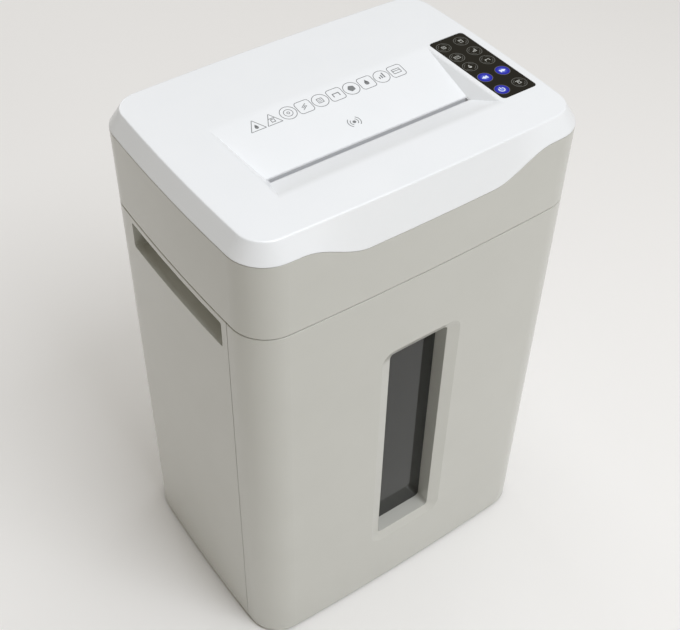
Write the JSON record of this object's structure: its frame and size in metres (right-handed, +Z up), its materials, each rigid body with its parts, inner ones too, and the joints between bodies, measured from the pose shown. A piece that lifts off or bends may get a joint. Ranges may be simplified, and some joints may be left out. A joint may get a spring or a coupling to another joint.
{
  "type": "paper shredder",
  "caption": "Free-standing office paper shredder: white sloped top with full-width feed slot and touch panel, grey case, pull-out waste bin with smoked window.",
  "frame": {"origin": "centre of the case outline at floor level, under the rubber feet", "axes": "+Z up, +X along the feed slot to the right seen from the front, -Y the front with the bin window"},
  "size_m": [0.3852, 0.279, 0.5965],
  "materials": {
    "case_grey": "moulded ABS, pearl grey, glossy",
    "cover_white": "moulded ABS, white, satin gloss",
    "base_grey": "moulded ABS, textured",
    "foot_rubber": "matt",
    "nylon": "natural acetal",
    "magnet": "nickel plated",
    "panel_glass": "black back-printed panel, glossy",
    "circuit_board": "solder mask",
    "throat_grey": "moulded, satin",
    "sensor_black": "moulded nylon, satin",
    "window_smoke": "smoked acrylic, polished",
    "tub_black": "moulded polypropylene",
    "plated_steel": "zinc plated sheet",
    "rod_steel": "turned steel",
    "cutter_steel": "hardened, oiled",
    "gear_steel": "sintered steel",
    "gear_nylon": "moulded acetal",
    "bronze": "sintered bronze",
    "gearbox_black": "moulded nylon",
    "motor_steel": "painted steel can",
    "wire_insulation": "PVC",
    "ribbon_grey": "flat cable",
    "board_component": "moulded parts",
    "print_grey": "screen-printed marks",
    "key_light": "back-lit blue print",
    "pin_brass": "plated brass"
  },
  "bodies": {
    "cabinet": {"cabinet_shell": "case_grey", "base_plate": "base_grey", "rubber_feet": "foot_rubber", "bin_runners": "nylon", "catch_magnets": "magnet", "reed_switch": "sensor_black", "head_housing": "case_grey", "top_cover": "cover_white", "control_glass": "panel_glass", "touch_board": "circuit_board", "feed_throat": "throat_grey", "paper_sensor": "sensor_black", "bin_full_sensor": "sensor_black", "side_plate_left": "plated_steel", "side_plate_right": "plated_steel", "tie_rods": "rod_steel", "shaft_bushes": "bronze", "stripper_comb_front": "throat_grey", "stripper_comb_rear": "throat_grey", "gear_studs": "rod_steel", "gearbox_cover": "gearbox_black", "motor_body": "motor_steel", "motor_capacitor": "gearbox_black", "motor_leads": "wire_insulation", "main_board": "circuit_board", "board_parts": "board_component", "panel_ribbon": "ribbon_grey", "mains_inlet": "sensor_black", "inlet_pins": "pin_brass", "switch_frame": "sensor_black", "case_screws": "rod_steel", "cover_screws": "rod_steel"},
    "bin": {"bin_front": "case_grey", "window_pane": "window_smoke", "waste_tub": "tub_black", "tub_brackets": "plated_steel", "tub_screws": "rod_steel", "bin_glides": "nylon", "strike_arms": "plated_steel", "interlock_magnet": "magnet"},
    "rear_cutter_roll": {"rear_cutter": "cutter_steel", "rear_timing_gear": "gear_steel", "output_gear": "gear_steel", "rear_circlips": "rod_steel"},
    "front_cutter_roll": {"front_cutter": "cutter_steel", "front_timing_gear": "gear_steel", "front_circlip": "rod_steel"},
    "second_idler": {"second_stage_gear": "gear_nylon"},
    "first_idler": {"first_stage_gear": "gear_nylon"},
    "motor_rotor": {"motor_shaft": "rod_steel", "motor_pinion": "gear_steel", "motor_fan": "gearbox_black"},
    "power_rocker": {"switch_rocker": "sensor_black"}
  },
  "joints": [
    {"name": "bin_slide", "type": "slide", "parent": "cabinet", "child": "bin", "axis": [0, -1, 0], "range_m": [0, 0.25]},
    {"name": "rear_cutter_spin", "type": "hinge", "parent": "cabinet", "child": "rear_cutter_roll", "pos_m": [0, -0.028, 0.532], "axis": [1, 0, 0], "continuous": true},
    {"name": "front_cutter_spin", "type": "hinge", "parent": "cabinet", "child": "front_cutter_roll", "pos_m": [0, -0.062, 0.532], "axis": [1, 0, 0], "continuous": true},
    {"name": "second_idler_spin", "type": "hinge", "parent": "cabinet", "child": "second_idler", "pos_m": [-0.132, 0.01147, 0.54636], "axis": [1, 0, 0], "continuous": true},
    {"name": "first_idler_spin", "type": "hinge", "parent": "cabinet", "child": "first_idler", "pos_m": [-0.141, 0.04812, 0.53303], "axis": [1, 0, 0], "continuous": true},
    {"name": "motor_spin", "type": "hinge", "parent": "cabinet", "child": "motor_rotor", "pos_m": [-0.07, 0.08412, 0.53303], "axis": [1, 0, 0], "continuous": true},
    {"name": "rocker_tilt", "type": "hinge", "parent": "cabinet", "child": "power_rocker", "pos_m": [0.08, 0.1303, 0.531], "axis": [0, 0, 1], "range_deg": [-20, 0]}
  ],
  "couplings": [
    {"joint": "front_cutter_spin", "follows": "rear_cutter_spin", "ratio": -1},
    {"joint": "second_idler_spin", "follows": "rear_cutter_spin", "ratio": -2.5},
    {"joint": "first_idler_spin", "follows": "rear_cutter_spin", "ratio": 8.3333},
    {"joint": "motor_spin", "follows": "rear_cutter_spin", "ratio": -41.667}
  ]
}
